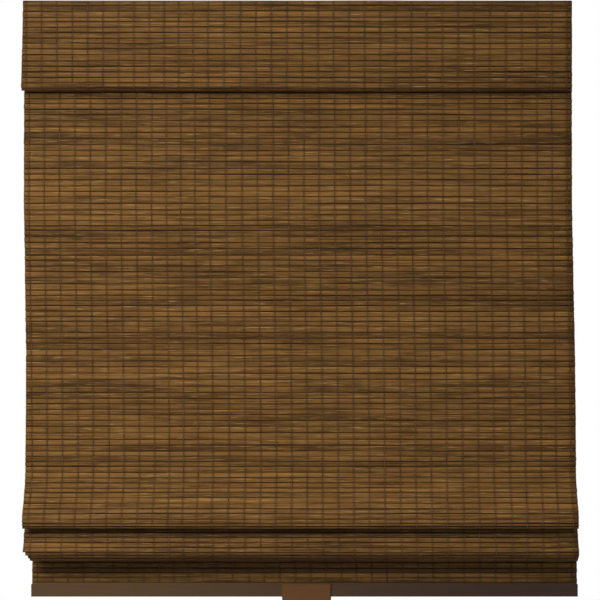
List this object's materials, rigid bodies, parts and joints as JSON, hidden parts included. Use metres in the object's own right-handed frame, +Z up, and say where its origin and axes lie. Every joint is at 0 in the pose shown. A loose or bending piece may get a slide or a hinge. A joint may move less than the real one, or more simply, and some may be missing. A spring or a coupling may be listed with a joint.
{
  "type": "bamboo roman shade",
  "caption": "Cordless woven bamboo roman shade on a timber headrail, with a valance, two folds at the foot, a bottom rail and a pull handle.",
  "frame": {"origin": "centre of the four wall screw holes in the two brackets, on the wall plane", "axes": "+Y into the wall, +Z up, +X to the right seen from the room"},
  "size_m": [0.9273, 0.0925, 0.9986],
  "materials": {
    "bamboo": "stained slats, satin, brown",
    "warp_yarn": "dark brown twisted yarn",
    "pine": "planed softwood",
    "rail_wood": "satin brown stain",
    "handle_wood": "satin red-brown stain",
    "zinc_steel": "zinc plated",
    "spring_steel": "blued spring strip",
    "white_plastic": "moulded",
    "grey_plastic": "moulded",
    "clear_plastic": "smooth clear rings"
  },
  "bodies": {
    "headrail": {"headrail_board": "pine", "valance_lath": "pine", "lath_brads": "zinc_steel", "valance_mat": "bamboo", "valance_threads": "warp_yarn", "shade_mat": "bamboo", "warp_threads": "warp_yarn", "panel_rings": "clear_plastic", "bracket_left": "zinc_steel", "bracket_right": "zinc_steel", "board_screws": "zinc_steel", "cradle_left": "white_plastic", "cradle_right": "white_plastic", "motor_case": "grey_plastic", "motor_cover": "grey_plastic", "cover_screws": "zinc_steel", "storage_axle": "zinc_steel", "power_spring": "spring_steel"},
    "rail": {"bottom_rail": "rail_wood", "pull_handle": "handle_wood", "handle_screws": "zinc_steel", "rail_eyes": "zinc_steel", "stack_rings": "clear_plastic"},
    "shaft": {"lift_shaft": "zinc_steel", "spool_left": "white_plastic", "spool_right": "white_plastic", "shaft_clips": "zinc_steel", "drive_drum": "grey_plastic"},
    "storage": {"storage_drum": "grey_plastic"}
  },
  "joints": [
    {"name": "rail_lift", "type": "slide", "parent": "headrail", "child": "rail", "axis": [0, 0, 1], "range_m": [0, 0.68], "deforming": ["shade_mat", "warp_threads", "panel_rings"]},
    {"name": "shaft_turn", "type": "hinge", "parent": "headrail", "child": "shaft", "pos_m": [0, -0.024, 0.002], "axis": [-1, 0, 0], "range_deg": [0, 5400]},
    {"name": "storage_turn", "type": "hinge", "parent": "headrail", "child": "storage", "pos_m": [0.06, -0.024, -0.024], "axis": [1, 0, 0], "range_deg": [0, 4360]}
  ],
  "couplings": [
    {"joint": "shaft_turn", "follows": "rail_lift", "rad_per_m": 133.3},
    {"joint": "storage_turn", "follows": "rail_lift", "rad_per_m": 107.6}
  ]
}
